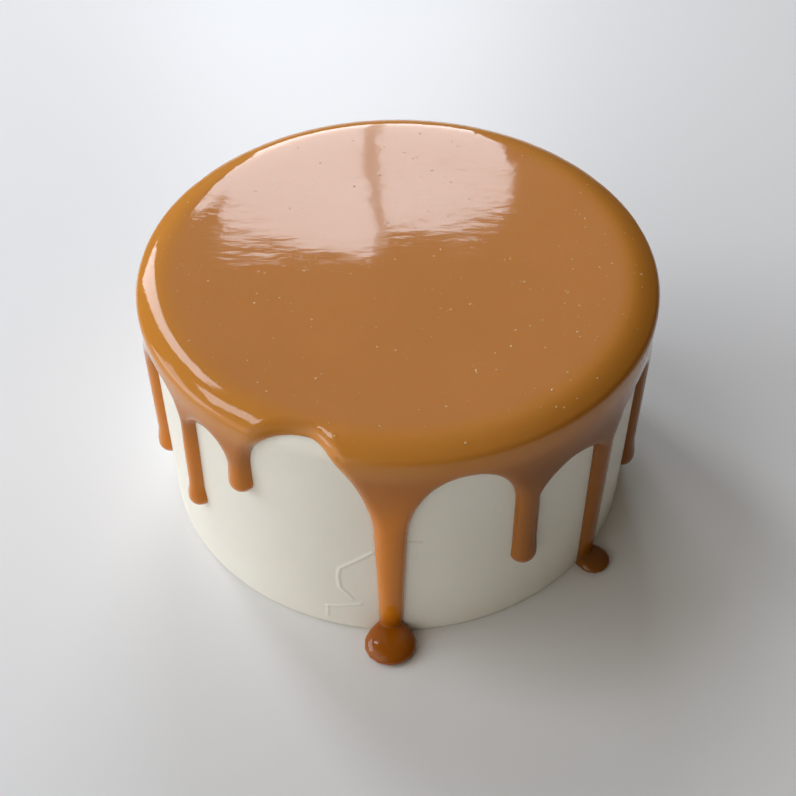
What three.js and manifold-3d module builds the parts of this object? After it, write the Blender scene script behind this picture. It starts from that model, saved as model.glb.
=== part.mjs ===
// A whole frosted carrot cake under a poured caramel glaze.
//
// The cake is round and uncut, so it is one solid: sponge and frosting together. The caramel is one
// solid too: a lid over the top that rounds the rim and runs down the side in drips, three of which
// reach the surface that the cake stands on and spread into pools.
//
// Millimetres, +Z up. The origin is the middle of the flat base. Angles go round from the front (-Y),
// positive to the right (+X).

import * as THREE from "three";
import { mergeVertices } from "three/addons/utils/BufferGeometryUtils.js";
import Module from "manifold-3d";

// ---- Driving dimensions ------------------------------------------------------------------------

const CAKE_RADIUS = 106; // an 8 inch sponge with its coat of frosting
const CAKE_HEIGHT = 112.4;
const EDGE_RADIUS = 6; // the frosting's rounded top edge
const FOOT_CHAMFER = 0.8; // the frosting turns in a little where it meets the surface below

const TOP_THICKNESS = 4.1; // caramel on the flat top
const RIM_THICKNESS = 3.9; // at the rim
const CORNER_RADIUS = 3.4; // of its skin where it turns down
const ROLL_RADIUS = 21; // the poured top bends off more gently before it
const ROLL_WIDTH = 3; // and starts to bend this far in from the frosting's edge
const SIDE_THICKNESS = 3.1; // caramel on the side, between the drips
const DRIP_THICKNESS = 4.3; // the rounded bead of a drip
const BULB_THICKNESS = 5.4; // the fatter end of a drip
const FIT_GAP = 0.3; // clearance between the caramel and the frosting

const EDGE_ROUNDING = 5.5; // how far in from its edge the caramel reaches its full thickness
const EDGE_POWER = 2.2; // how round that edge is
const RIM_REACH = 1.5; // how far below the rounded edge the thicker rim begins, in edge lengths
const SINK_SLOPE = 0.7; // how steeply the skin dives into the frosting past the caramel's edge
const SINK_DEPTH = 8;
const BULB_REACH = 8; // how far above the bulb's middle a drip starts to widen
const BULB_SPAN = 2; // how far from its middle a bulb is fatter than its drip, in half widths
const DRIP_SPAN = 4; // how far from its middle line a drip is thicker than the side, in half widths

const SWIRL_HEIGHT = 0.3; // the poured top is not quite level
const SWIRL_RADIUS = 58;
const SWIRL_MARGIN = 30; // it fades out this far in from the side

// Each drip: where it runs, how high its tip ends, half its width at the neck and at the bulb, and
// how many degrees it wanders on its way down. Then the bare arch to its right: how high up the side
// it opens, how deep its left and right shoulders are, and how round they bend (2 for an ellipse).
// A pool is a drip's end on the surface below: its radius, and how far outside the frosting its
// middle lies.
const DRIPS = [
  { at: -74.5, tip: 26, neck: 4.8, bulb: 5.8, lean: -3.5, arch: 101, shoulders: [14, 12] },
  { at: -51.3, tip: 37.2, neck: 4.0, bulb: 5.3, lean: -2, arch: 97, shoulders: [7, 11] },
  {
    at: -35.6, tip: 72, neck: 5.5, bulb: 5.6, lean: 0,
    arch: 114.5, shoulders: [24, 45], bends: [2, 1.7],
  },
  {
    at: -1.6, tip: 0, neck: 7.4, bulb: 5, lean: 0, pool: 10.2, reach: 8,
    arch: 99.5, shoulders: [33, 24],
  },
  {
    at: 28.5, tip: 34, neck: 5.7, bulb: 5.9, lean: 1,
    arch: 86, shoulders: [11, 8], bends: [1.7, 2],
  },
  {
    at: 51.4, tip: 0, neck: 5.8, bulb: 5.2, lean: 0, pool: 6.7, reach: 6,
    arch: 90, shoulders: [12, 12],
  },
  { at: 78.5, tip: 13.5, neck: 5.2, bulb: 6.2, lean: 0, arch: 99, shoulders: [20, 18] },
  { at: 96, tip: 58, neck: 5.0, bulb: 5.6, lean: 0, arch: 94, shoulders: [14, 16] },
  { at: 113, tip: 20, neck: 4.8, bulb: 5.8, lean: -1, arch: 103, shoulders: [26, 20] },
  { at: 137, tip: 66, neck: 5.4, bulb: 5.8, lean: 0, arch: 97, shoulders: [13, 15] },
  {
    at: 155, tip: 0, neck: 6.2, bulb: 4.5, lean: 0, pool: 8.8, reach: 7,
    arch: 104, shoulders: [24, 34],
  },
  { at: 184, tip: 47, neck: 5.3, bulb: 6.0, lean: 1, arch: 92, shoulders: [14, 13] },
  { at: 204, tip: 73, neck: 4.9, bulb: 5.3, lean: 0, arch: 100, shoulders: [16, 22] },
  { at: 225, tip: 26, neck: 4.9, bulb: 6.0, lean: -1.5, arch: 105, shoulders: [28, 22] },
  { at: 248, tip: 62, neck: 5.2, bulb: 5.7, lean: 0, arch: 96, shoulders: [15, 14] },
  { at: 267, tip: 42, neck: 4.7, bulb: 5.8, lean: 1, arch: 98, shoulders: [14, 16] },
];

const POOL_SQUASH = 0.74; // a pool's height as a share of its radius

// ---- Mesh density ------------------------------------------------------------------------------

const CAKE_COLUMNS = 96;
const DRIP_COLUMNS = [-1.3, -1, -0.6, 0, 0.6, 1]; // across a drip, in half widths
const LAST_COLUMN = 1.3;
const ARCH_SPACING = 5.5; // between the columns of an arch
const TIP_ROWS = 7; // round the end of a drip
const TIP_MARGIN = 0.3; // how far below a drip's end its rows start, in half widths
const TIP_REACH = 3.2; // how far up they go
const SHAFT_ROWS = 3; // along the straight part of a drip
const SHOULDER_ROWS = 9; // from the lowest shoulder up to the rounded edge
const SHOULDER_START = 69;
const EDGE_ROWS = 5; // over the frosting's rounded edge
const SKIN_ROWS = [0, 0.24, 0.34, 0.46, 0.6, 0.8]; // over the caramel's corner, as shares of that edge
const TOP_RINGS = [0.97, 0.8, 0.42]; // rings on the flat top, as shares of its radius
const POOL_COLUMNS = 28;
const POOL_ROWS = 6;
const SIMPLIFY = 0.01; // faces that the cut leaves are merged, moving none by more than this
const SLIVER = 0.003; // a face narrower than this is swapped into its neighbour
const CUTTER_DEPTH = 5; // how far below the cake's base the form that hollows the caramel goes

// ---- The cake's profile ------------------------------------------------------------------------

const SIDE_LENGTH = CAKE_HEIGHT - EDGE_RADIUS;
const EDGE_LENGTH = (EDGE_RADIUS * Math.PI) / 2;
const PROFILE_LENGTH = SIDE_LENGTH + EDGE_LENGTH + CAKE_RADIUS - EDGE_RADIUS;
const DEGREE = Math.PI / 180;

/** The point at a length up the side, round the edge and in over the top, moved out by an offset. */
function profileAt(length, offset) {
  if (length <= SIDE_LENGTH) return { radius: CAKE_RADIUS + offset, height: length };
  const turn = (length - SIDE_LENGTH) / EDGE_RADIUS;
  const inner = CAKE_RADIUS - EDGE_RADIUS;
  if (turn < Math.PI / 2)
    return {
      radius: inner + (EDGE_RADIUS + offset) * Math.cos(turn),
      height: SIDE_LENGTH + (EDGE_RADIUS + offset) * Math.sin(turn),
    };
  return { radius: Math.max(PROFILE_LENGTH - length, 0), height: CAKE_HEIGHT + offset };
}

// ---- The caramel's outline ---------------------------------------------------------------------

const clamp = (value, low, high) => Math.min(Math.max(value, low), high);
const mix = (a, b, share) => a + (b - a) * share;
const smooth = (share) => {
  const t = clamp(share, 0, 1);
  return t * t * (3 - 2 * t);
};
const wrap = (angle) => angle - 2 * Math.PI * Math.round(angle / (2 * Math.PI));

/** Where a drip's middle line is, as a distance round the side from its root. */
const wander = (drip, length) =>
  drip.lean * DEGREE * CAKE_RADIUS * (1 - clamp(length / SIDE_LENGTH, 0, 1));

/** Half a drip's width at a height. It fattens towards its bulb, or thins on its way to the floor. */
function halfWidth(drip, length) {
  const reach = drip.pool ? SIDE_LENGTH : BULB_REACH;
  const bulbMiddle = drip.pool ? 0 : drip.tip + drip.bulb;
  return mix(drip.bulb, drip.neck, smooth((length - bulbMiddle) / reach));
}

/** How far a point lies outside the bare arch between two drips, which is negative in the arch. */
function outsideArch(angle, length, left, right) {
  const fromLeft = wrap(angle - left.at * DEGREE) * CAKE_RADIUS;
  const span = wrap((right.at - left.at) * DEGREE) * CAKE_RADIUS;
  const sides = (level) => [
    wander(left, level) + halfWidth(left, level),
    span + wander(right, level) - halfWidth(right, level),
  ];
  const middle = (low, high) => (low + high) / 2;
  const side = fromLeft < middle(...sides(left.arch)) ? 0 : 1;
  const shoulder = left.shoulders[side];
  const root = left.arch - shoulder;
  const [low, high] = sides(Math.min(length, root));
  const half = (high - low) / 2;
  const across = Math.abs(fromLeft - middle(low, high));
  if (length <= root) return across - half;
  const x = across / half;
  const y = (length - root) / shoulder;
  const bend = left.bends ? left.bends[side] : 2;
  const sum = x ** bend + y ** bend;
  const steepness = Math.hypot(x ** (bend - 1) / half, y ** (bend - 1) / shoulder);
  return (sum ** (1 / bend) - 1) / (steepness * sum ** (1 / bend - 1));
}

/** Distance in from the caramel's edge, and how much of a drip or bulb a point belongs to. */
function caramelAt(angle, length) {
  let inside = Infinity;
  let drip = 0;
  let bulb = 0;
  DRIPS.forEach((left, i) => {
    const right = DRIPS[(i + 1) % DRIPS.length];
    inside = Math.min(inside, outsideArch(angle, length, left, right));
    const across = wrap(angle - left.at * DEGREE) * CAKE_RADIUS - wander(left, length);
    if (Math.abs(across) > DRIP_SPAN * left.bulb) return;
    drip = Math.max(drip, smooth((left.arch - length) / left.shoulders[0]));
    if (left.pool) return;
    const below = left.tip + left.bulb - length;
    if (below > 0) inside = Math.min(inside, left.bulb - Math.hypot(across, below));
    bulb = Math.max(bulb, smooth(1 - Math.abs(below) / (BULB_SPAN * left.bulb)));
  });
  return { inside, drip, bulb };
}

/** The lid's thickness where its skin bends off towards the rim and turns a tight corner. */
function cornerThickness(turn, side) {
  if (turn < 0) return side;
  const angle = (Math.min(turn, 1) * Math.PI) / 2;
  const [across, up] = [Math.cos(angle), Math.sin(angle)];
  const high = EDGE_RADIUS + TOP_THICKNESS;
  const x = EDGE_RADIUS + side - CORNER_RADIUS;
  let meet = x;
  let slope = 0;
  for (let i = 0; i < 4; i++) {
    slope = (meet + ROLL_WIDTH) / ROLL_RADIUS;
    meet = x + (CORNER_RADIUS * slope) / Math.hypot(1, slope);
  }
  const drop = (meet + ROLL_WIDTH) ** 2 / (2 * ROLL_RADIUS);
  const y = high - drop - CORNER_RADIUS / Math.hypot(1, slope);
  const near = x * across + y * up;
  let reach = near + Math.sqrt(Math.max(CORNER_RADIUS ** 2 - x ** 2 - y ** 2 + near ** 2, 0));
  if (reach * up < y) reach = (EDGE_RADIUS + side) / across;
  else if (reach * across < meet) {
    const steep = up + (across * ROLL_WIDTH) / ROLL_RADIUS;
    const bend = across ** 2 / (2 * ROLL_RADIUS);
    const level = high - ROLL_WIDTH ** 2 / (2 * ROLL_RADIUS);
    reach = (2 * level) / (steep + Math.sqrt(steep ** 2 + 4 * bend * level));
  }
  const inward = clamp(((turn - 1) * EDGE_LENGTH) / ROLL_WIDTH, 0, 1);
  return reach - EDGE_RADIUS + (ROLL_WIDTH ** 2 / (2 * ROLL_RADIUS)) * (1 - (1 - inward) ** 2);
}

/** How far the caramel's skin stands out from the frosting at an angle and a length up the profile. */
function skinOffset(angle, length) {
  const { inside, drip, bulb } = caramelAt(angle, length);
  if (inside < 0) return FIT_GAP + SINK_SLOPE * Math.max(inside, -SINK_DEPTH);
  const turn = (length - SIDE_LENGTH) / EDGE_LENGTH;
  const side = mix(mix(SIDE_THICKNESS, DRIP_THICKNESS, drip), BULB_THICKNESS, bulb);
  const aboveSide = mix(side, RIM_THICKNESS, smooth(1 + turn / RIM_REACH));
  const full = cornerThickness(turn, aboveSide) - FIT_GAP;
  const rise = 1 - clamp(inside / EDGE_ROUNDING, 0, 1);
  return FIT_GAP + full * (1 - rise ** EDGE_POWER);
}

/** The faint ring that pouring leaves in the flat top. */
const swirl = (radius) =>
  SWIRL_HEIGHT *
  Math.cos((Math.PI * radius) / SWIRL_RADIUS) *
  smooth((CAKE_RADIUS - radius) / SWIRL_MARGIN);

// ---- Solids ------------------------------------------------------------------------------------

const wasm = await Module();
wasm.setup();

/** A closed three.js geometry as a solid that can be joined and cut. */
function toSolid(geometry) {
  const bare = new THREE.BufferGeometry().setAttribute("position", geometry.getAttribute("position"));
  bare.setIndex(geometry.index);
  const merged = mergeVertices(bare, 1e-4);
  return new wasm.Manifold(
    new wasm.Mesh({
      numProp: 3,
      vertProperties: merged.getAttribute("position").array,
      triVerts: new Uint32Array(merged.index.array),
    }),
  );
}

/** A solid as a three.js geometry. */
function toGeometry(solid) {
  const mesh = solid.getMesh();
  return new THREE.BufferGeometry()
    .setAttribute("position", new THREE.BufferAttribute(new Float32Array(mesh.vertProperties), 3))
    .setIndex(new THREE.BufferAttribute(new Uint32Array(mesh.triVerts), 1));
}

/** The same closed surface without the slivers that a cut leaves along nearly straight lines. */
function withoutSlivers(geometry) {
  const corners = geometry.getAttribute("position");
  const at = (i) => new THREE.Vector3().fromBufferAttribute(corners, i);
  const index = Array.from(geometry.index.array);
  const faces = Array.from({ length: index.length / 3 }, (_, i) => index.slice(3 * i, 3 * i + 3));
  const key = (a, b) => `${a} ${b}`;
  const owner = new Map();
  const claim = (face) => face.forEach((a, i) => owner.set(key(a, face[(i + 1) % 3]), face));
  const release = (face) => face.forEach((a, i) => owner.delete(key(a, face[(i + 1) % 3])));
  faces.forEach(claim);
  for (const face of [...faces, ...faces]) {
    const lengths = face.map((a, i) => at(a).distanceTo(at(face[(i + 1) % 3])));
    const longest = lengths.indexOf(Math.max(...lengths));
    const [a, b, c] = [0, 1, 2].map((i) => face[(longest + i) % 3]);
    const area = at(b).sub(at(a)).cross(at(c).sub(at(a))).length();
    if (area / lengths[longest] > SLIVER) continue;
    const other = owner.get(key(b, a));
    const d = other.find((corner) => corner !== a && corner !== b);
    if (owner.has(key(c, d)) || owner.has(key(d, c))) continue;
    [face, other].forEach(release);
    face.splice(0, 3, a, d, c);
    other.splice(0, 3, d, b, c);
    [face, other].forEach(claim);
  }
  return geometry.setIndex(faces.flat());
}

/** The frosted cake, grown by an offset and carried a little below the surface that it stands on. */
function cakeGeometry(offset, below) {
  const profile = [new THREE.Vector2(0, -below)];
  if (below) profile.push(new THREE.Vector2(CAKE_RADIUS + offset, -below));
  else {
    profile.push(new THREE.Vector2(CAKE_RADIUS - FOOT_CHAMFER, 0));
    profile.push(new THREE.Vector2(CAKE_RADIUS, FOOT_CHAMFER));
  }
  for (let i = 0; i <= EDGE_ROWS; i++) {
    const { radius, height } = profileAt(SIDE_LENGTH + (EDGE_LENGTH * i) / EDGE_ROWS, offset);
    profile.push(new THREE.Vector2(radius, height));
  }
  profile.push(new THREE.Vector2(0, CAKE_HEIGHT + offset));
  return new THREE.LatheGeometry(profile, CAKE_COLUMNS).rotateX(Math.PI / 2);
}

/** Numbers spread evenly from the first towards the last, which is left out. */
const evenly = (first, last, count) =>
  Array.from({ length: count }, (_, i) => mix(first, last, i / count));

/** The lengths up the profile of a drip's rows: close at its end and its shoulders, wide between. */
function dripRows(drip) {
  const start = drip.pool ? 0 : drip.tip - TIP_MARGIN * drip.bulb;
  const bulbTop = start + (TIP_MARGIN + TIP_REACH) * drip.bulb;
  if (bulbTop > SHOULDER_START)
    return evenly(start, SIDE_LENGTH, TIP_ROWS + SHAFT_ROWS + SHOULDER_ROWS);
  return [
    ...evenly(start, bulbTop, TIP_ROWS),
    ...evenly(bulbTop, SHOULDER_START, SHAFT_ROWS),
    ...evenly(SHOULDER_START, SIDE_LENGTH, SHOULDER_ROWS),
  ];
}

/** The lengths of the rows above the side: round the edge and in over the top. */
function topRows() {
  const flat = CAKE_RADIUS - EDGE_RADIUS;
  return [
    ...SKIN_ROWS.map((share) => SIDE_LENGTH + EDGE_LENGTH * share),
    ...[1, ...TOP_RINGS].map((share) => PROFILE_LENGTH - flat * share),
  ];
}

/** The angle of a line that keeps to a share of a drip's half width as the drip runs down. */
const besideDrip = (drip, share, length) =>
  drip.at * DEGREE + (wander(drip, length) + share * halfWidth(drip, length)) / CAKE_RADIUS;

/** A column of points on the caramel's skin, from below its lowest edge to the middle of the top. */
function skinColumn(rows, angleAt) {
  return rows.map((length) => {
    const angle = angleAt(length);
    const { radius, height } = profileAt(length, skinOffset(angle, length));
    const lift = height > CAKE_HEIGHT ? swirl(radius) : 0;
    return new THREE.Vector3(radius * Math.sin(angle), -radius * Math.cos(angle), height + lift);
  });
}

/** The columns of the caramel's skin: along the sides of every drip, and evenly over each arch. */
function skinColumns() {
  const above = topRows();
  return DRIPS.flatMap((left, i) => {
    const right = DRIPS[(i + 1) % DRIPS.length];
    const leftRows = [...dripRows(left), ...above];
    const rightRows = [...dripRows(right), ...above];
    const start = (length) => besideDrip(left, LAST_COLUMN, length);
    const span = (length) => wrap(besideDrip(right, DRIP_COLUMNS[0], length) - start(length));
    const steps = Math.ceil((span(SIDE_LENGTH) * CAKE_RADIUS) / ARCH_SPACING);
    const overDrip = DRIP_COLUMNS.map((share) =>
      skinColumn(leftRows, (length) => besideDrip(left, share, length)),
    );
    const overArch = evenly(0, 1, steps).map((share) =>
      skinColumn(
        leftRows.map((length, row) => mix(length, rightRows[row], share)),
        (length) => start(length) + span(length) * share,
      ),
    );
    return [...overDrip, ...overArch];
  });
}

/** A closed form from upright columns of points that go round it, with a middle point at each end. */
function closedForm(columns, bottom, top) {
  const rows = columns[0].length;
  const points = [...columns.flat(), bottom, top];
  const [bottomIndex, topIndex] = [points.length - 2, points.length - 1];
  const faces = [];
  columns.forEach((_, i) => {
    const here = i * rows;
    const next = ((i + 1) % columns.length) * rows;
    faces.push(bottomIndex, next, here);
    for (let row = 0; row < rows - 1; row++) {
      faces.push(here + row, next + row, next + row + 1);
      faces.push(here + row, next + row + 1, here + row + 1);
    }
    faces.push(here + rows - 1, next + rows - 1, topIndex);
  });
  return new THREE.BufferGeometry().setFromPoints(points).setIndex(faces);
}

/** The pool at the foot of a drip: a dome on the surface below, half behind the frosting's side. */
function poolGeometry(drip) {
  const profile = [new THREE.Vector2(0, 0)];
  for (let i = 0; i <= POOL_ROWS; i++) {
    const turn = (Math.PI / 2) * (i / POOL_ROWS);
    const height = drip.pool * POOL_SQUASH * Math.sin(turn);
    profile.push(new THREE.Vector2(i < POOL_ROWS ? drip.pool * Math.cos(turn) : 0, height));
  }
  const angle = besideDrip(drip, 0, 0);
  const reach = CAKE_RADIUS + drip.reach;
  return new THREE.LatheGeometry(profile, POOL_COLUMNS)
    .rotateX(Math.PI / 2)
    .translate(reach * Math.sin(angle), -reach * Math.cos(angle), 0);
}

/** The caramel: its skin as a closed form round the whole cake, less the cake and its clearance. */
function caramelGeometry() {
  const top = new THREE.Vector3(0, 0, CAKE_HEIGHT + TOP_THICKNESS + swirl(0));
  const skin = toSolid(closedForm(skinColumns(), new THREE.Vector3(0, 0, 0), top));
  const pools = DRIPS.filter((drip) => drip.pool).map((drip) => toSolid(poolGeometry(drip)));
  const whole = pools.reduce((joined, pool) => joined.add(pool), skin);
  const hollow = whole.subtract(toSolid(cakeGeometry(FIT_GAP, CUTTER_DEPTH)));
  return withoutSlivers(toGeometry(hollow.simplify(SIMPLIFY)));
}

// ---- The part ----------------------------------------------------------------------------------

const frosting = new THREE.MeshStandardMaterial({ color: 0xebe5d6, roughness: 0.55, metalness: 0 });
const caramel = new THREE.MeshStandardMaterial({ color: 0xb0743c, roughness: 0.18, metalness: 0 });

function named(name, geometry, material) {
  const mesh = new THREE.Mesh(geometry, material);
  mesh.name = name;
  return mesh;
}

const cake = new THREE.Group();
cake.add(named("frosted_cake", cakeGeometry(0, 0), frosting));
cake.add(named("caramel_glaze", caramelGeometry(), caramel));

export default cake;
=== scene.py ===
"""A whole frosted carrot cake under a poured caramel glaze.

The frosting is one spread coat with the faint marks of a palette knife. The caramel is one poured
sheet: a lid that rounds the rim, drips that run down the side, and pools where a drip meets the
surface below. Lengths are in millimetres and angles in degrees from the front, positive to the
right, until a vertex is placed.
"""
import math
import random

import bmesh
import bpy
import numpy as np
from mathutils import Matrix, Vector, noise
from mathutils.bvhtree import BVHTree
from mathutils.kdtree import KDTree


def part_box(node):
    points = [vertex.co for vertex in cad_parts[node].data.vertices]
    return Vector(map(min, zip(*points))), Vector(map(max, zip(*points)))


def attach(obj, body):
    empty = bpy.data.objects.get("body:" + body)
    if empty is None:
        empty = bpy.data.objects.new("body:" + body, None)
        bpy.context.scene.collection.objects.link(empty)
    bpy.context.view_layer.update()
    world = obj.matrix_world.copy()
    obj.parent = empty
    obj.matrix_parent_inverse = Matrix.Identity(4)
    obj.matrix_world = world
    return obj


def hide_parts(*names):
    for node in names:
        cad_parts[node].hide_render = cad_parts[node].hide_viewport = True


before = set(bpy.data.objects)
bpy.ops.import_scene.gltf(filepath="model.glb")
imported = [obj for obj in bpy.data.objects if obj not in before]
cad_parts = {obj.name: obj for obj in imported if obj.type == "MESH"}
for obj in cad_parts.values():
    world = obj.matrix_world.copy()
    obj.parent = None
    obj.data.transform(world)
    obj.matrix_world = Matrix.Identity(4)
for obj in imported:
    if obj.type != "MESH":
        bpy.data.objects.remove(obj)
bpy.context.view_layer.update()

MM = 0.001

# ---- The cake's sizes ---------------------------------------------------------------------------

CAKE_LOW, CAKE_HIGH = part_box("frosted_cake")
CAKE_RADIUS = (CAKE_HIGH.x - CAKE_LOW.x) / 2 / MM
CAKE_HEIGHT = CAKE_HIGH.z / MM
EDGE_RADIUS = 6
FOOT_CHAMFER = 0.8
SIDE_LENGTH = CAKE_HEIGHT - EDGE_RADIUS
EDGE_LENGTH = EDGE_RADIUS * math.pi / 2
FLAT_RADIUS = CAKE_RADIUS - EDGE_RADIUS
PROFILE_LENGTH = SIDE_LENGTH + EDGE_LENGTH + FLAT_RADIUS

TOP_THICKNESS = 4.1  # caramel on the flat top
RIM_THICKNESS = 3.9  # at the rim
SIDE_THICKNESS = 3.1  # on the side, between the drips
DRIP_THICKNESS = 4.3  # the rounded bead of a drip
BULB_THICKNESS = 5.4  # the fatter end of a drip
FOOT_THICKNESS = 3.6  # a drip that thins on its way to its pool
CORNER_RADIUS = 3.4  # of the caramel's skin at the rim
ROLL_RADIUS = 21  # the poured top bends off more gently before it
ROLL_WIDTH = 3  # and starts to bend this far in from the frosting's edge
LIP_WIDTH = 6.0  # how far in from its edge the caramel reaches its full thickness
LOW_LIP_WIDTH = 5.2  # the same for the lower arches
LIP_HEIGHTS = (85, 105)  # it goes from the one to the other between these heights
RIM_REACH = 1.5  # how far below the rounded edge the thicker rim begins, in edge lengths
BULB_REACH = 8  # how far above a bulb's middle its drip starts to widen
BULB_FALL = 11  # and how far above it its drip starts to thicken
THIN_HEIGHT = 70  # a drip thins below this on its way to its pool
DRIP_REACH = 8  # how far to its sides a drip thickens the lid
ROOT_REACH = 15  # the same where it leaves the rim
ROOT_FALL = 14  # over this height a drip takes over the lid's thickness
ROOT_RISE = 6  # and this far above its arches the lid starts to thicken
SWIRL_HEIGHT = 0.3  # the poured top is not quite level
SWIRL_RADIUS = 58
SWIRL_MARGIN = 30  # it fades out this far in from the side
POOL_SQUASH = 0.74  # a pool's height as a share of its radius
POOL_WAIST = 2  # the height at which a pool is widest
SINK = -0.3  # the caramel's edge lies this far under the frosting
BED = -0.7  # and its underside this far

# Faint waves in a surface: how high they are, how the noise is stretched, the size of a wave, and
# the number that picks its pattern.
POUR_WAVES = [
    (0.16, (1, 1, 1), 26, 1),
    (0.05, (1, 1, 1), 11, 2),
]
KNIFE_WAVES = [
    (0.22, (1, 1, 1), 42, 3),
    (0.07, (1, 1, 0.5), 15, 4),
    (0.03, (1, 1, 0.22), 5.5, 5),
    (0.02, (1, 1, 3), 9, 6),
]

# Each drip: where it runs, how high its tip ends, half its width at the neck and at the bulb, and
# how many degrees it wanders on its way down. Then the bare arch to its right: how high up the side
# it opens, how deep its left and right shoulders are, and how round they bend (2 for an ellipse).
# A pool is a drip's end on the surface below: its radius, and how far outside the frosting its
# middle lies.
DRIPS = [
    dict(at=-74.5, tip=26, neck=4.8, bulb=5.8, lean=-3.5, arch=101, shoulders=(14, 12)),
    dict(at=-51.3, tip=37.2, neck=4.0, bulb=5.3, lean=-2, arch=97, shoulders=(7, 11)),
    dict(
        at=-35.6, tip=72, neck=5.5, bulb=5.6, lean=0, arch=114.5, shoulders=(24, 45),
        bends=(2, 1.7),
    ),
    dict(
        at=-1.6, tip=0, neck=7.4, bulb=5.0, lean=0, arch=99.5, shoulders=(33, 24),
        pool=10.2, reach=8,
    ),
    dict(
        at=28.5, tip=34, neck=5.7, bulb=5.9, lean=1, arch=86, shoulders=(11, 8),
        bends=(1.7, 2),
    ),
    dict(
        at=51.4, tip=0, neck=5.8, bulb=5.2, lean=0, arch=90, shoulders=(12, 12),
        pool=6.7, reach=6,
    ),
    dict(at=78.5, tip=13.5, neck=5.2, bulb=6.2, lean=0, arch=99, shoulders=(20, 18)),
    dict(at=96, tip=58, neck=5.0, bulb=5.6, lean=0, arch=94, shoulders=(14, 16)),
    dict(at=113, tip=20, neck=4.8, bulb=5.8, lean=-1, arch=103, shoulders=(26, 20)),
    dict(at=137, tip=66, neck=5.4, bulb=5.8, lean=0, arch=97, shoulders=(13, 15)),
    dict(
        at=155, tip=0, neck=6.2, bulb=4.5, lean=0, arch=104, shoulders=(24, 34),
        pool=8.8, reach=7,
    ),
    dict(at=184, tip=47, neck=5.3, bulb=6.0, lean=1, arch=92, shoulders=(14, 13)),
    dict(at=204, tip=73, neck=4.9, bulb=5.3, lean=0, arch=100, shoulders=(16, 22)),
    dict(at=225, tip=26, neck=4.9, bulb=6.0, lean=-1.5, arch=105, shoulders=(28, 22)),
    dict(at=248, tip=62, neck=5.2, bulb=5.7, lean=0, arch=96, shoulders=(15, 14)),
    dict(at=267, tip=42, neck=4.7, bulb=5.8, lean=1, arch=98, shoulders=(14, 16)),
]

# Fine ridges and cuts that the knife left in the frosting: a line of angle and height, then how
# proud it stands and how wide it is.
CREASES = [
    ([(-5.4, 55.0), (-12.9, 41.4), (-13.4, 36.3), (-13.1, 28.1), (-10.4, 21.7)], 0.34, 0.8),
    ([(-16.7, 12.7), (-8.4, 18.2)], 0.3, 0.65),
    ([(-16.2, 13.0), (-16.4, 5.5)], 0.24, 0.65),
    ([(2.4, 62.2), (5.4, 61.6)], -0.7, 0.45),
]
CREASE_FIELD = ((-18.5, 6), (6, 66))  # the angles and heights that need a finer mesh for them
CREASE_CUTS = 3

# ---- Mesh density -------------------------------------------------------------------------------

DRIP_STEPS = 12  # faces across a drip
ARCH_STEP = 1.8  # length of a face along an arch
LIP_ROWS = 8  # over the rounding of the lid's lower edge
LID_ROWS = 50  # from the lid's lower edge to the flat top, lip and all
LID_REACH = 14  # how far in over the flat top those rows go
TOP_ROWS = 22
CORNER_ROWS = 4  # how much closer the rows are where the lid turns its corner
CORNER_PLACE, CORNER_SPAN = 0.37, 0.28  # where that is, and how far it goes, in edge lengths
OUTLINE_FALL, OUTLINE_STEP = 24, 0.4  # how far down a drip the lid's outline is known, and how finely
DRIP_ROW = 1.6  # length of a face down a drip
BULB_ROWS = 11
POOL_ROWS = 16
SIDE_COLUMNS = 540  # of the frosting
SIDE_ROWS = 90
EDGE_ROWS = 8
FLAT_ROWS = 6
MERGE = 2e-6  # metres: vertices closer than this are one

BUBBLE_COUNT = 330
BUBBLE_RADII = (0.22, 0.6)
BUBBLE_RISE = 0.24  # a bubble's height as a share of its radius

FULL_TURN = 2 * math.pi * CAKE_RADIUS  # once round the side


# ---- Shape helpers ------------------------------------------------------------------------------

def mix(a, b, share):
    """A value that is a at share 0 and b at share 1."""
    return a + (b - a) * share


def smooth(share):
    """A share from 0 to 1 that starts and ends gently."""
    t = np.clip(share, 0, 1)
    return t * t * (3 - 2 * t)


def round_side(degrees):
    """The distance round the side at an angle."""
    return math.radians(degrees) * CAKE_RADIUS


def profile(length, offset):
    """Radius and height at a length up the side, round the edge and in over the top."""
    turn = np.clip((length - SIDE_LENGTH) / EDGE_RADIUS, 0, math.pi / 2)
    inward = np.clip(length - SIDE_LENGTH - EDGE_LENGTH, 0, FLAT_RADIUS)
    radius = FLAT_RADIUS + (EDGE_RADIUS + offset) * np.cos(turn) - inward
    height = np.minimum(length, SIDE_LENGTH) + (EDGE_RADIUS + offset) * np.sin(turn)
    return np.maximum(radius, 0), height


def place(around, length, offset):
    """Points on the cake's surface, moved out by an offset."""
    radius, height = profile(length, offset)
    angle = np.asarray(around) / CAKE_RADIUS
    return np.stack([radius * np.sin(angle), -radius * np.cos(angle), height], axis=-1)


def wander(drip, length):
    """How far a drip has strayed to the side on its way down."""
    return round_side(drip["lean"]) * (1 - np.clip(length / SIDE_LENGTH, 0, 1))


def half_width(drip, length):
    """Half a drip's width, which fattens at its bulb or thins on its way to the floor."""
    reach = SIDE_LENGTH if "pool" in drip else BULB_REACH
    bulb_middle = 0 if "pool" in drip else drip["tip"] + drip["bulb"]
    return mix(drip["bulb"], drip["neck"], smooth((length - bulb_middle) / reach))


def beside(drip, share, length):
    """A place across a drip, as a distance round the side."""
    return round_side(drip["at"]) + wander(drip, length) + share * half_width(drip, length)


def root(drip, side):
    """Where the arch on a drip's right starts to bend, on that arch's left (0) or right (1)."""
    return drip["arch"] - drip["shoulders"][side]


# ---- Mesh helpers -------------------------------------------------------------------------------

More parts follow.
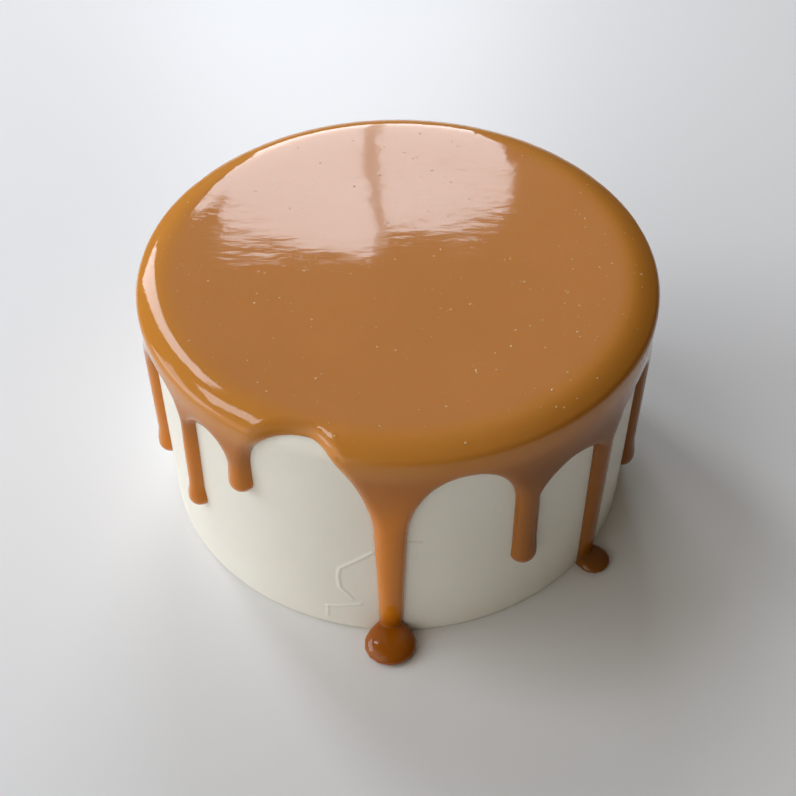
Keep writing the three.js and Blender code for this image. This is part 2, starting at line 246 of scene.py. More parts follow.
def put(verts, points):
    """Moves vertices to points given in millimetres."""
    for vert, point in zip(verts, np.asarray(points) * MM):
        vert.co = point


def finish_piece(name, bm, material, replaced):
    """Turns a bmesh into a smooth-shaded piece that rides on the cake."""
    mesh = bpy.data.meshes.new(name)
    bm.to_mesh(mesh)
    bm.free()
    mesh.polygons.foreach_set("use_smooth", [True] * len(mesh.polygons))
    piece = bpy.data.objects.new(name, mesh)
    bpy.context.scene.collection.objects.link(piece)
    mesh.materials.append(material)
    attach(piece, "root")
    if replaced:
        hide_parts(replaced)


# ---- The caramel --------------------------------------------------------------------------------

DRIP_COUNT = len(DRIPS)


def lap(i):
    """One full turn for a drip reached past the last one, so that distances keep growing."""
    return FULL_TURN * (i // DRIP_COUNT)


def drip_side(i, share, length):
    """A place across the drip with a running number, which may be past the last drip."""
    return beside(DRIPS[i % DRIP_COUNT], share, length) + lap(i)


def lid_columns():
    """The lid's upright lines: the drip each belongs to, its place across, and its lower end."""
    columns = []
    for i, drip in enumerate(DRIPS):
        before = DRIPS[i - 1]
        for j in range(DRIP_STEPS):
            share = math.sin(math.pi * (j / DRIP_STEPS - 0.5))
            foot = mix(root(before, 1), root(drip, 0), (share + 1) / 2)
            columns.append(dict(drip=i, over_drip=True, share=share, foot=foot))
        span = drip_side(i + 1, -1, root(drip, 1)) - drip_side(i, 1, root(drip, 0))
        steps = round((span + sum(drip["shoulders"]) / 2) / ARCH_STEP)
        for j in range(steps):
            share = (1 - math.cos(math.pi * j / steps)) / 2
            side = 0 if share < 0.5 else 1
            bend = drip.get("bends", (2, 2))[side]
            rise = (1 - abs(2 * share - 1) ** bend) ** (1 / bend)
            foot = root(drip, side) + drip["shoulders"][side] * rise
            columns.append(dict(drip=i, over_drip=False, share=share, foot=foot))
    return columns


def column_place(column, length):
    """Where a lid column runs round the side, at lengths up the profile."""
    i = column["drip"]
    if column["over_drip"]:
        return drip_side(i, column["share"], length)
    return mix(drip_side(i, 1, length), drip_side(i + 1, -1, length), column["share"])


def outline(columns):
    """The caramel's lower edge: points round the side and up the profile, in order."""
    points = []
    for column in columns:
        i = column["drip"]
        down = np.arange(column["foot"], column["foot"] - OUTLINE_FALL, -OUTLINE_STEP)
        if column["over_drip"] and column["share"] == -1:
            points += [(drip_side(i, -1, length), length) for length in down]
        elif not column["over_drip"]:
            if column["share"] == 0:
                points += [(drip_side(i, 1, length), length) for length in down[::-1]]
            else:
                points.append((float(column_place(column, column["foot"])), column["foot"]))
    points = np.array(points)
    before, after = points.copy(), points.copy()
    before[:, 0] -= FULL_TURN
    after[:, 0] += FULL_TURN
    return np.concatenate([before, points, after])


def edge_distance(around, length, edge):
    """How far in from the caramel's lower edge each place lies."""
    tree = KDTree(len(edge))
    for k, (x, y) in enumerate(edge):
        tree.insert((x, y, 0), k)
    tree.balance()
    nearest = np.array([tree.find((x, y, 0))[1] for x, y in zip(around, length)])
    here = np.stack([around, length], axis=-1)
    distance = np.full(len(here), np.inf)
    for step in (-1, 0):
        start = edge[np.clip(nearest + step, 0, len(edge) - 2)]
        run = edge[np.clip(nearest + step, 0, len(edge) - 2) + 1] - start
        share = np.clip(((here - start) * run).sum(1) / np.maximum((run**2).sum(1), 1e-9), 0, 1)
        gap = here - start - run * share[:, None]
        distance = np.minimum(distance, np.hypot(gap[:, 0], gap[:, 1]))
    return distance


def drip_share(around, length):
    """How much of a drip's thicker bead runs through each place on the lid."""
    share = np.zeros(len(around))
    for i in range(-1, DRIP_COUNT + 1):
        drip = DRIPS[i % DRIP_COUNT]
        before = DRIPS[(i - 1) % DRIP_COUNT]
        middle = drip_side(i, 0, length)
        arch = (drip["arch"] + before["arch"]) / 2
        shoulder = (drip["shoulders"][0] + before["shoulders"][1]) / 2
        reach = mix(DRIP_REACH, ROOT_REACH, smooth((length - arch + shoulder) / shoulder))
        across = np.exp(-(((around - middle) / reach) ** 2))
        share = np.maximum(share, across * smooth((arch + ROOT_RISE - length) / shoulder))
    return share


def waves(points, table):
    """The height of smooth waves at points in millimetres, added up from a table of them."""
    total = np.zeros(len(points))
    for height, stretch, size, pattern in table:
        shift = Vector((pattern * 17.3, pattern * 5.1, pattern * 9.7))
        total += [height * noise.noise(Vector(p) / size + shift) for p in points * stretch]
    return total


def corner_thickness(turn, side):
    """The lid's thickness where its skin bends off towards the rim and turns a tight corner."""
    angle = np.clip(turn, 0, 1) * math.pi / 2
    across, up = np.cos(angle), np.sin(angle)
    wide, high = EDGE_RADIUS + side, EDGE_RADIUS + TOP_THICKNESS
    x = wide - CORNER_RADIUS
    meet = x
    for _ in range(4):
        slope = (meet + ROLL_WIDTH) / ROLL_RADIUS
        meet = x + CORNER_RADIUS * slope / np.hypot(1, slope)
    drop = (meet + ROLL_WIDTH) ** 2 / (2 * ROLL_RADIUS)
    y = high - drop - CORNER_RADIUS / np.hypot(1, slope)
    near = x * across + y * up
    corner = near + np.sqrt(np.maximum(CORNER_RADIUS**2 - x**2 - y**2 + near**2, 0))
    steep = up + across * ROLL_WIDTH / ROLL_RADIUS
    bend = across**2 / (2 * ROLL_RADIUS)
    level = high - ROLL_WIDTH**2 / (2 * ROLL_RADIUS)
    roll = 2 * level / (steep + np.sqrt(steep**2 + 4 * bend * level))
    above = np.where(corner * across < meet, roll, corner)
    reach = np.where(corner * up < y, wide / np.maximum(across, 1e-3), above)
    inward = np.clip((turn - 1) * EDGE_LENGTH / ROLL_WIDTH, 0, 1)
    rise = ROLL_WIDTH**2 / (2 * ROLL_RADIUS) * (1 - (1 - inward) ** 2)
    return np.where(turn < 0, side, reach - EDGE_RADIUS + rise)


def lid_thickness(around, length, edge):
    """The lid's thickness on the side, over the rim and in over the top."""
    turn = (length - SIDE_LENGTH) / EDGE_LENGTH
    side = mix(SIDE_THICKNESS, DRIP_THICKNESS, drip_share(around, length))
    full = corner_thickness(turn, mix(side, RIM_THICKNESS, smooth(1 + turn / RIM_REACH)))
    near = np.flatnonzero(length < SIDE_LENGTH + EDGE_LENGTH + 2 * LIP_WIDTH)
    distance = np.full(len(around), np.inf)
    distance[near] = edge_distance(around[near], length[near], edge)
    low, high = LIP_HEIGHTS
    width = mix(LOW_LIP_WIDTH, LIP_WIDTH, smooth((length - low) / (high - low)))
    inner = 1 - np.clip(distance / width, 0, 1)
    ripple = waves(place(around, length, 0), POUR_WAVES)
    shown = smooth(distance / 8) * mix(1, 0.45, smooth(turn / 2))
    radius, _ = profile(length, 0)
    swirl = SWIRL_HEIGHT * np.cos(math.pi * radius / SWIRL_RADIUS)
    swirl = swirl * smooth((CAKE_RADIUS - radius) / SWIRL_MARGIN)
    full = full + ripple * shown + swirl * smooth(turn - 1)
    return SINK + (full - SINK) * np.sqrt(1 - inner**2)


def grid_verts(bm, across, along):
    """A flat grid of faces, as a table of vertices: one list for each line across."""
    made = bmesh.ops.create_grid(bm, x_segments=across, y_segments=along, size=0.5)
    table = [[None] * (along + 1) for _ in range(across + 1)]
    for vert in made["verts"]:
        i = round((vert.co.x + 0.5) * across)
        j = round((vert.co.y + 0.5) * along)
        table[i][j] = vert
    return table


def body_rows(low, high):
    """The rows of the lid above its lip, closer together where its skin turns the corner."""
    length = np.linspace(low, high, 300)
    turn = (length - SIDE_LENGTH) / EDGE_LENGTH
    closeness = np.cumsum(1 + CORNER_ROWS * np.exp(-(((turn - CORNER_PLACE) / CORNER_SPAN) ** 2)))
    closeness = (closeness - closeness[0]) / (closeness[-1] - closeness[0])
    return np.interp(np.linspace(0, 1, LID_ROWS - LIP_ROWS + 1)[1:], closeness, length)


def make_lid(bm, layers):
    """The poured lid, from its lower edge and the drips' roots in to the middle of the top."""
    columns = lid_columns()
    edge = outline(columns)
    last = SIDE_LENGTH + EDGE_LENGTH + LID_REACH
    lip = LIP_WIDTH * (1 - np.cos(np.linspace(0, math.pi / 2, LIP_ROWS + 1)))
    table = grid_verts(bm, len(columns), LID_ROWS + TOP_ROWS)
    verts, around, length = [], [], []
    for i, line in enumerate(table):
        column = columns[i % len(columns)]
        body = body_rows(column["foot"] + LIP_WIDTH, last)
        top = last + (PROFILE_LENGTH - last) * np.linspace(0, 1, TOP_ROWS + 1)[1:]
        rows = np.concatenate([column["foot"] + lip, body, top])
        verts += line
        around.append(column_place(column, rows) + FULL_TURN * (i // len(columns)))
        length.append(rows)
    around, length = np.concatenate(around), np.concatenate(length)
    thickness = lid_thickness(around, length, edge)
    put(verts, place(around, length, thickness))
    note(layers, verts, around, length, thickness)
    lower = [line[0][layers["thickness"]] for line in table]
    starts = [i for i, column in enumerate(columns) if column["share"] == -1]
    return [lower[i : i + DRIP_STEPS + 1] for i in starts]


def note(layers, verts, around, length, thickness):
    """Keeps where each vertex lies on the cake, for the caramel's underside and its colour."""
    for vert, u, s, t in zip(verts, around, length, thickness):
        vert[layers["around"]] = u
        vert[layers["length"]] = s
        vert[layers["thickness"]] = t


def drip_rows(drip):
    """Rows down a drip: height, half width, front thickness, and how far out its middle lies."""
    rows = []
    pool = drip.get("pool")
    low = pool * POOL_SQUASH if pool else drip["tip"] + drip["bulb"]
    high = min(root(drip, 0), root(DRIPS[DRIPS.index(drip) - 1], 1))
    count = max(4, round((high - low) / DRIP_ROW))
    for k in range(count + 1):
        share = k / count
        length = mix(high, low, share)
        if pool:
            front = mix(DRIP_THICKNESS, FOOT_THICKNESS, smooth(1 - length / THIN_HEIGHT))
        else:
            front = mix(BULB_THICKNESS, DRIP_THICKNESS, smooth((length - low) / BULB_FALL))
        rows.append((share, length, None, front, 0))
    if pool:
        waist = POOL_WAIST
        last = math.acos(-waist / (low - waist))
        for k in range(1, POOL_ROWS + 1):
            turn = last * k / POOL_ROWS
            height = max(waist + (low - waist) * math.cos(turn), 0)
            reach = math.sin(turn)
            width = (half_width(drip, height) ** 4 + (pool * reach) ** 4) ** 0.25
            front = (FOOT_THICKNESS**4 + ((drip["reach"] + pool) * reach) ** 4) ** 0.25
            rows.append((1, height, width, front, max(0, front - width)))
    else:
        for k in range(1, BULB_ROWS + 1):
            turn = math.pi / 2 * (1 - k / BULB_ROWS)
            length = drip["tip"] + drip["bulb"] * (1 - math.cos(turn))
            reach = math.sin(turn)
            front = mix(SINK, BULB_THICKNESS, reach**0.9)
            rows.append((1, length, drip["bulb"] * reach, front, 0))
    return rows


def make_drip(bm, layers, i, lid_edge):
    """One drip, from the lid down to its bulb or its pool."""
    drip = DRIPS[i]
    before = DRIPS[i - 1]
    rows = drip_rows(drip)
    high = rows[0][1]
    table = grid_verts(bm, DRIP_STEPS, len(rows) - 1)
    for j, line in enumerate(table):
        turn = math.pi * (j / DRIP_STEPS - 0.5)
        share = math.sin(turn)
        foot = mix(root(before, 1), root(drip, 0), (share + 1) / 2)
        for vert, (down, length, width, front, centre) in zip(line, rows):
            here = length + (foot - high) * (1 - down)
            width = half_width(drip, here) if width is None else width
            wrap = 1 + math.asin(min(centre / max(width, 0.1), 0.95)) / (math.pi / 2)
            across = width * math.sin(turn * wrap)
            out = SINK + centre + (front - centre - SINK) * math.cos(turn * wrap)
            meet = lid_edge[j] - SINK - (rows[0][3] - SINK) * math.cos(turn)
            out += meet * smooth(1 - (high - length) / ROOT_FALL)
            middle = beside(drip, 0, here)
            put([vert], [place(middle + across, here, max(out, SINK))])
            inner = min(width, drip["bulb"] if "pool" in drip else width) * share
            note(layers, [vert], [middle + inner], [here], [out])


def caramel_mesh():
    """The caramel as one closed shell, with its underside just inside the frosting."""
    bm = bmesh.new()
    layers = {
        name: bm.verts.layers.float.new(name) for name in ("around", "length", "thickness")
    }
    lid_edges = make_lid(bm, layers)
    for i, lid_edge in enumerate(lid_edges):
        make_drip(bm, layers, i, lid_edge)
    bmesh.ops.remove_doubles(bm, verts=bm.verts, dist=MERGE)
    made = bmesh.ops.extrude_face_region(bm, geom=bm.faces, use_keep_orig=True)
    under = [item for item in made["geom"] if isinstance(item, bmesh.types.BMVert)]
    around = np.array([vert[layers["around"]] for vert in under])
    length = np.array([vert[layers["length"]] for vert in under])
    put(under, place(around, length, BED))
    flat = SIDE_LENGTH + EDGE_LENGTH + 4
    hidden = {vert for vert, s in zip(under, length) if s > flat}
    faces = [face for face in bm.faces if all(vert in hidden for vert in face.verts)]
    bmesh.ops.dissolve_faces(bm, faces=faces, use_verts=True)
    bmesh.ops.recalc_face_normals(bm, faces=bm.faces)
    return bm


# ---- Air bubbles in the caramel -----------------------------------------------------------------

def bubble_mesh(caramel):
    """Small air bubbles that stand in the poured top, each a low dome set into the caramel."""
    tree = BVHTree.FromBMesh(caramel)
    chance = random.Random(7)
    bm = bmesh.new()
    first = bmesh.ops.create_uvsphere(bm, u_segments=8, v_segments=5, radius=1)["verts"]
    shape = list(bm.faces)
    for _ in range(BUBBLE_COUNT):
        reach = (CAKE_RADIUS - 1) * math.sqrt(chance.random()) * MM
        angle = chance.uniform(0, 2 * math.pi)
        above = Vector((reach * math.cos(angle), reach * math.sin(angle), 0.2))
        point, normal, _, _ = tree.ray_cast(above, Vector((0, 0, -1)))
        size = mix(*BUBBLE_RADII, chance.random() ** 3) * MM
        turn = normal.to_track_quat("Z", "Y").to_matrix().to_4x4()
        squash = Matrix.Diagonal((size, size, size * BUBBLE_RISE, 1))
        copy = bmesh.ops.duplicate(bm, geom=shape)["geom"]
        verts = [item for item in copy if isinstance(item, bmesh.types.BMVert)]
        bmesh.ops.transform(bm, verts=verts, matrix=Matrix.Translation(point) @ turn @ squash)
    bmesh.ops.delete(bm, geom=first, context="VERTS")
    return bm


# ---- The frosting -------------------------------------------------------------------------------

def segment_distance(around, length, line):
    """How far each place on the side lies from a line of points given by angle and height."""
    points = [(round_side(angle), height) for angle, height in line]
    distance = np.full(len(around), np.inf)
    for (x0, y0), (x1, y1) in zip(points, points[1:]):
        run = np.array([x1 - x0, y1 - y0])
        share = ((around - x0) * run[0] + (length - y0) * run[1]) / (run @ run)
        share = np.clip(share, 0, 1)
        gap = np.hypot(around - x0 - run[0] * share, length - y0 - run[1] * share)
        distance = np.minimum(distance, gap)
    return distance


def frosting_relief(around, length):
    """How far the palette knife left the frosting proud of its true round, in millimetres."""
    relief = waves(place(around, length, 0), KNIFE_WAVES) * smooth(length / 3)
    for line, height, width in CREASES:
        distance = segment_distance(around, length, line)
        relief = relief + height * np.exp(-((distance / width) ** 2))
    return relief


def refine_creases(bm):
    """Makes the frosting's mesh finer where the creases lie."""
    angles, heights = CREASE_FIELD
    edges = set()
    for face in bm.faces:
        x, y, z = face.calc_center_median() / MM
        angle = math.degrees(math.atan2(x, -y))
        outside = math.hypot(x, y) > FLAT_RADIUS
        if angles[0] < angle < angles[1] and heights[0] < z < heights[1] and outside:
            edges.update(face.edges)
    bmesh.ops.subdivide_edges(bm, edges=list(edges), cuts=CREASE_CUTS, use_grid_fill=True)


def frosting_mesh():
    """The frosted cake: its profile carried round, then the marks of the palette knife."""
    bm = bmesh.new()
    lengths = np.concatenate([
        np.linspace(FOOT_CHAMFER, SIDE_LENGTH, SIDE_ROWS + 1),
        SIDE_LENGTH + EDGE_LENGTH * np.linspace(0, 1, EDGE_ROWS + 1)[1:],
        np.linspace(SIDE_LENGTH + EDGE_LENGTH, PROFILE_LENGTH, FLAT_ROWS + 1)[1:],
    ])
    radius, height = profile(lengths, 0)
    radius = np.concatenate([[0, CAKE_RADIUS - FOOT_CHAMFER], radius])
    height = np.concatenate([[0, 0], height])
    for i, line in enumerate(grid_verts(bm, SIDE_COLUMNS, len(radius) - 1)):
        angle = 2 * math.pi * i / SIDE_COLUMNS
        across, back = radius * math.sin(angle), -radius * math.cos(angle)
        put(line, np.stack([across, back, height], axis=-1))
    bmesh.ops.remove_doubles(bm, verts=bm.verts, dist=MERGE / 2)
    refine_creases(bm)
    rounded = (FLAT_RADIUS + 1) * MM
    side = [v for v in bm.verts if math.hypot(v.co.x, v.co.y) > rounded and v.co.z > 0]
    co = np.array([v.co for v in side]) / MM
    around = np.arctan2(co[:, 0], -co[:, 1]) * CAKE_RADIUS
    reach = np.hypot(co[:, 0], co[:, 1])
    turn = np.arctan2(co[:, 2] - SIDE_LENGTH, np.maximum(reach - FLAT_RADIUS, 0.01))
    length = np.where(co[:, 2] > SIDE_LENGTH, SIDE_LENGTH + EDGE_RADIUS * turn, co[:, 2])
    foot = np.minimum(length / FOOT_CHAMFER, 1)
    put(side, place(around, length, frosting_relief(around, length) * foot))
    bmesh.ops.recalc_face_normals(bm, faces=bm.faces)
    return bm


# ---- Finishes -----------------------------------------------------------------------------------

class Finish:
    """A material with one Principled shader, and short calls for the nodes that feed it."""

    def __init__(self, name, **constants):
        self.material = bpy.data.materials.new(name)
        self.material.use_nodes = True
        self.nodes = self.material.node_tree.nodes
        self.links = self.material.node_tree.links
        self.shader = self.nodes["Principled BSDF"]
        for socket, value in constants.items():
            self.shader.inputs[socket.replace("_", " ")].default_value = value
        self.where = self.node("ShaderNodeTexCoord").outputs["Object"]

    def node(self, kind, settings=None, **inputs):
        """A node with its settings, and its inputs given a value or the output that feeds them."""
        node = self.nodes.new(kind)
        for name, value in (settings or {}).items():
            setattr(node, name, value)
        for name, value in inputs.items():
            socket = node.inputs[int(name[1:]) if name[1:].isdigit() else name.replace("_", " ")]
            if isinstance(value, bpy.types.NodeSocket):
                self.links.new(value, socket)
            else:
                socket.default_value = value
        return node

    def noise(self, size, stretch=(1, 1, 1), detail=2, roughness=0.5):
        """Noise whose grains are about a size in millimetres, longer where stretch is smaller."""
        place = self.node("ShaderNodeMapping", Vector=self.where, Scale=stretch).outputs[0]
        made = self.node(
            "ShaderNodeTexNoise", Vector=place, Scale=1000 / size, Detail=detail,
            Roughness=roughness,
        )
        return made.outputs["Fac"]

    def ramp(self, value, low, high, to_low=0.0, to_high=1.0):
        """A gentle step from one value to another as the given value goes from low to high."""
        made = self.node("ShaderNodeMapRange", {"interpolation_type": "SMOOTHSTEP"}, Value=value)
        ends = {"From Min": low, "From Max": high, "To Min": to_low, "To Max": to_high}
        for name, number in ends.items():
            made.inputs[name].default_value = number
        return made.outputs["Result"]

    def times(self, a, b):
        """The product of two values."""
        return self.node("ShaderNodeMath", {"operation": "MULTIPLY"}, _0=a, _1=b).outputs[0]

    def blend(self, share, a, b):
        """A colour between two others."""
        made = self.node("ShaderNodeMix", {"data_type": "RGBA"})
        for index, value in ((0, share), (6, a), (7, b)):
            if isinstance(value, bpy.types.NodeSocket):
                self.links.new(value, made.inputs[index])
            else:
                made.inputs[index].default_value = value
        return made.outputs[2]

    def attribute(self, name):
        """A number that each vertex carries."""
        return self.node("ShaderNodeAttribute", {"attribute_name": name}).outputs["Fac"]

    def bump(self, height, depth, normal=None):
        """Relief of a true depth in millimetres, from a height between 0 and 1."""
        made = self.node("ShaderNodeBump", Height=height, Distance=depth * MM, Strength=1.0)
        if normal is not None:
            self.links.new(normal, made.inputs["Normal"])
        return made.outputs["Normal"]

    def set(self, socket, value):
        """Feeds an input of the shader."""
        self.links.new(value, self.shader.inputs[socket])


TAN = (0.58, 0.240, 0.070, 1)
DEEP_TAN = (0.53, 0.215, 0.060, 1)
SIDE_BROWN = (0.48, 0.165, 0.02, 1)
DRIP_AMBER = (0.68, 0.22, 0.010, 1)
# the pools' deeper brown of thick caramel, darkened further by painted shade near the floor
POOL_BROWN_AND_SHADE = (0.32, 0.085, 0.002, 1)
# painted shade: the darker brown of the caramel's side on the right, away from the windows
RIGHT_SIDE_PAINTED_SHADE = (0.19, 0.065, 0.004, 1)
# painted light: a golden glow where the caramel thins over the rim
RIM_PAINTED_GLOW = (0.60, 0.24, 0.024, 1)
# painted shade: the golden rim band darker on the right, away from the windows
RIGHT_RIM_PAINTED_SHADE = (0.42, 0.155, 0.012, 1)
# a bubble's paler thin skin, lightened further as a painted glint
BUBBLE_SKIN_AND_GLINT_TONES = (0.80, 0.50, 0.25, 1), (0.70, 0.40, 0.17, 1)
CREAM_TONES = (0.86, 0.825, 0.725, 1), (0.895, 0.865, 0.78, 1)
FLOOR_TONES = (0.765, 0.76, 0.75, 1), (0.795, 0.79, 0.785, 1)


def caramel_finish():
    """Glossy caramel: tan on top, amber drips, brown pools, with a painted golden glow over the rim
    and painted shade in the pools and on the right.
    """
    caramel = Finish(
        "caramel",
        IOR=1.38,
        Subsurface_Weight=0.35,
        Subsurface_Radius=(1.0, 0.42, 0.14),
        Subsurface_Scale=0.0022,
        Coat_Weight=0.15,
        Coat_Roughness=0.04,
        Coat_IOR=1.45,
    )
    length = caramel.attribute("length")
    across = caramel.node("ShaderNodeSeparateXYZ", Vector=caramel.where).outputs["X"]
    tone = caramel.blend(caramel.noise(34, detail=3), TAN, DEEP_TAN)
    for high, low, lower_tone in (
        (SIDE_LENGTH + 4, SIDE_LENGTH - 8, SIDE_BROWN),
        (98, 72, DRIP_AMBER),
        # pools and drip ends: thick caramel's deeper brown with painted shade near the floor
        (20, 5, POOL_BROWN_AND_SHADE),
    ):
        tone = caramel.blend(caramel.ramp(length, high, low), tone, lower_tone)
    # painted shade: below the rim the caramel darkens towards the right, away from the windows
    right_side_shade = caramel.times(
        caramel.ramp(across, 0.005, 0.065),
        caramel.ramp(length, SIDE_LENGTH + 3, SIDE_LENGTH - 18),
    )
    tone = caramel.blend(caramel.times(right_side_shade, 0.8), tone, RIGHT_SIDE_PAINTED_SHADE)
    # painted light: a golden glow in a band round the rim, where the caramel thins over the rounding
    rim = caramel.times(
        caramel.ramp(length, SIDE_LENGTH - 6, SIDE_LENGTH + 4),
        caramel.ramp(length, SIDE_LENGTH + 18, SIDE_LENGTH + 6),
    )
    tone = caramel.blend(caramel.times(rim, 0.7), tone, RIM_PAINTED_GLOW)
    # painted shade: the same rim band turns a darker gold on the right
    right_rim_shade = caramel.times(rim, caramel.ramp(across, 0.02, 0.12))
    tone = caramel.blend(right_rim_shade, tone, RIGHT_RIM_PAINTED_SHADE)
    caramel.set("Base Color", tone)
    caramel.set("Roughness", caramel.ramp(caramel.noise(9, detail=4), 0.3, 0.7, 0.045, 0.075))
    fine = caramel.bump(caramel.noise(3.5, (1, 2, 1), 2), 0.012)
    skin = caramel.bump(caramel.noise(10, (1, 2.6, 1), 2), 0.055, normal=fine)
    caramel.set("Normal", skin)
    return caramel.material


def bubble_finish():
    """The thin, paler skin over an air bubble, lightened further as a painted glint."""
    bubble = Finish(
        "caramel_bubble",
        IOR=1.47,
        Roughness=0.2,
        Subsurface_Weight=0.4,
        Subsurface_Radius=(1.0, 0.5, 0.2),
        Subsurface_Scale=0.001,
    )
    bubble.set("Base Color", bubble.blend(bubble.noise(4), *BUBBLE_SKIN_AND_GLINT_TONES))
    return bubble.material


def frosting_finish():
    """Cream frosting: off-white, satin, and faintly streaked by the knife."""
    frosting = Finish(
        "frosting",
        IOR=1.45,
        Subsurface_Weight=0.3,
        Subsurface_Radius=(1.0, 0.8, 0.5),
        Subsurface_Scale=0.004,
        Coat_Weight=0.08,
        Coat_Roughness=0.3,
    )
    frosting.set("Base Color", frosting.blend(frosting.noise(28, detail=3), *CREAM_TONES))
    frosting.set("Roughness", frosting.ramp(frosting.noise(3, detail=4), 0.3, 0.7, 0.42, 0.56))
    grain = frosting.bump(frosting.noise(1.4, (1, 1, 0.5), 4, 0.6), 0.05)
    frosting.set("Normal", frosting.bump(frosting.noise(6, (1, 1, 0.2), 3), 0.06, normal=grain))
    return frosting.material


def floor_finish():
    """A plain pale floor with a trace of unevenness in its tone."""
    floor = Finish("floor", Roughness=0.45)
    floor.set("Base Color", floor.blend(floor.noise(300, detail=3), *FLOOR_TONES))
    return floor.material


# ---- The cake -----------------------------------------------------------------------------------

caramel_skin = caramel_finish()
caramel = caramel_mesh()
bubbles = bubble_mesh(caramel)
finish_piece("caramel_glaze_poured", caramel, caramel_skin, "caramel_glaze")
finish_piece("caramel_bubbles", bubbles, bubble_finish(), None)
finish_piece("frosting_spread", frosting_mesh(), frosting_finish(), "frosted_cake")

# ---- Floor, light and camera --------------------------------------------------------------------

FLOOR_REACH = 6  # from its middle to its edges; all lengths in this part are in metres
MIDDLE = (0, 0, 0.1)  # of the cake, where the side windows face

# Soft light from all round: which way it comes from, how squarely a direction faces it where it
# begins and where it is full, and its colour.
SURROUNDINGS = [
    ((0, 0, 1), -2, -1, (0.058, 0.044, 0.022)),
    ((-0.87, -0.5, 0.3), 0.55, 1.0, (1.45, 1.43, 1.38)),
    ((0, -0.3, 1), 0.3, 1.0, (0.065, 0.062, 0.058)),
    ((0, 1, 0.3), 0.0, 1.0, (0.06, 0.06, 0.065)),
]

WINDOW_TINT = (0.94, 1.0, 1.1)
# The panes of the window behind, and the dim bar between two of them: left, right, bottom, top and
# brightness.
BACK_DISTANCE = 0.9
BACK_PANES = [
    (-0.263, -0.208, 0.29, 0.790, 6.6),
    (-0.208, -0.040, 0.29, 0.852, 6.6),
    (-0.040, -0.020, 0.29, 0.830, 2.6),
    (-0.020, 0.132, 0.29, 0.797, 6.3),
]
# The windows to the side: angle from the front, angle above the floor, width, height, brightness.
SIDE_DISTANCE = 3.0
SIDE_WINDOWS = {
    "far": (-141, 36, 0.56, 1.95, 6.9),
    "high": (-110, 58, 0.55, 0.85, 6.0),
    "near": (-95, 27, 1.7, 1.6, 3.35),
}

PICTURE_WIDTH = 796  # pixels
FOCAL_LENGTH = 1300  # pixels of that width
SENSOR_WIDTH = 36
CAMERA_TARGET = Vector((0, 0.0321, 0))
CAMERA_DISTANCE = 0.6524
CAMERA_ELEVATION = 46.22


def make_floor():
    """The plain floor that the cake stands on."""
    bm = bmesh.new()
    bmesh.ops.create_grid(bm, x_segments=8, y_segments=8, size=FLOOR_REACH)
    mesh = bpy.data.meshes.new("floor")
    bm.to_mesh(mesh)
    bm.free()
    mesh.materials.append(floor_finish())
    floor = bpy.data.objects.new("floor", mesh)
    bpy.context.scene.collection.objects.link(floor)


def make_glow(nodes, links, towards, axis, low, high, colour):
    """One soft glow in the surroundings, as the output that carries its colour."""
    facing = nodes.new("ShaderNodeVectorMath")
    facing.operation = "DOT_PRODUCT"
    facing.inputs[1].default_value = Vector(axis).normalized()
    links.new(towards, facing.inputs[0])
    share = nodes.new("ShaderNodeMapRange")
    share.interpolation_type = "SMOOTHSTEP"
    links.new(facing.outputs["Value"], share.inputs["Value"])
    share.inputs["From Min"].default_value = low
    share.inputs["From Max"].default_value = high
    glow = nodes.new("ShaderNodeMix")
    glow.data_type = "RGBA"
    glow.inputs[6].default_value = (0, 0, 0, 1)
    glow.inputs[7].default_value = (*colour, 1)
    links.new(share.outputs["Result"], glow.inputs[0])
    return glow.outputs[2]


def make_surroundings():
    """Low warm light from all round, and a large bright glow to the front left."""
    world = bpy.data.worlds.new("studio")
    world.use_nodes = True
    nodes, links = world.node_tree.nodes, world.node_tree.links
    towards = nodes.new("ShaderNodeTexCoord").outputs["Generated"]
    total, *others = [make_glow(nodes, links, towards, *row) for row in SURROUNDINGS]
    for glow in others:
        add = nodes.new("ShaderNodeMix")
        add.data_type = "RGBA"
        add.blend_type = "ADD"
        add.inputs[0].default_value = 1
        links.new(total, add.inputs[6])
        links.new(glow, add.inputs[7])
        total = add.outputs[2]
    background = nodes["Background"]
    background.inputs["Strength"].default_value = 1
    links.new(total, background.inputs["Color"])
    bpy.context.scene.world = world


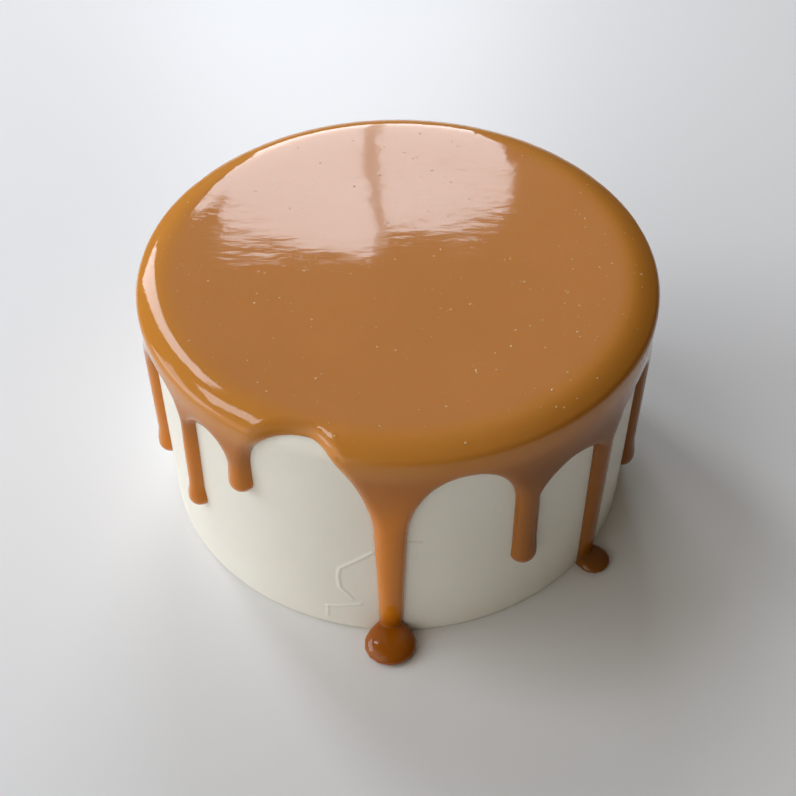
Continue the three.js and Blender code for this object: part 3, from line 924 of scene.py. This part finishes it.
def make_window(name, position, target, width, height, brightness):
    """A flat soft light that faces a target and isn't seen itself."""
    light = bpy.data.lights.new(name, "AREA")
    light.shape = "RECTANGLE"
    light.size = width
    light.size_y = height
    light.energy = brightness * math.pi * width * height
    light.color = WINDOW_TINT
    lamp = bpy.data.objects.new(name, light)
    lamp.location = position
    lamp.rotation_euler = (Vector(position) - Vector(target)).to_track_quat("Z", "Y").to_euler()
    lamp.visible_camera = False
    bpy.context.scene.collection.objects.link(lamp)


def around_cake(azimuth, elevation, distance):
    """A point in the air, by its angle from the front, its height as an angle and its distance."""
    azimuth, elevation = math.radians(azimuth), math.radians(elevation)
    flat = distance * math.cos(elevation)
    up = distance * math.sin(elevation)
    return flat * math.sin(azimuth), -flat * math.cos(azimuth), up + MIDDLE[2]


def make_windows():
    """The window behind, which lies in the poured top's gloss, and three to the left."""
    for number, (left, right, low, high, brightness) in enumerate(BACK_PANES):
        middle = ((left + right) / 2, BACK_DISTANCE, (low + high) / 2)
        ahead = (middle[0], 0, middle[2])
        name = f"window_back_{number + 1}"
        make_window(name, middle, ahead, right - left, high - low, brightness)
    for side, (azimuth, elevation, width, height, brightness) in SIDE_WINDOWS.items():
        position = around_cake(azimuth, elevation, SIDE_DISTANCE)
        make_window(f"window_side_{side}", position, MIDDLE, width, height, brightness)


def make_camera():
    """The camera, which looks down on the cake from the front."""
    camera = bpy.data.cameras.new("camera")
    camera.sensor_width = SENSOR_WIDTH
    camera.lens = FOCAL_LENGTH / PICTURE_WIDTH * SENSOR_WIDTH
    viewer = bpy.data.objects.new("camera", camera)
    bpy.context.scene.collection.objects.link(viewer)
    elevation = math.radians(CAMERA_ELEVATION)
    away = Vector((0, -math.cos(elevation), math.sin(elevation)))
    viewer.location = CAMERA_TARGET + CAMERA_DISTANCE * away
    viewer.rotation_euler = away.to_track_quat("Z", "Y").to_euler()
    bpy.context.scene.camera = viewer


make_floor()
make_surroundings()
make_windows()
make_camera()
bpy.context.scene.view_settings.view_transform = "Standard"
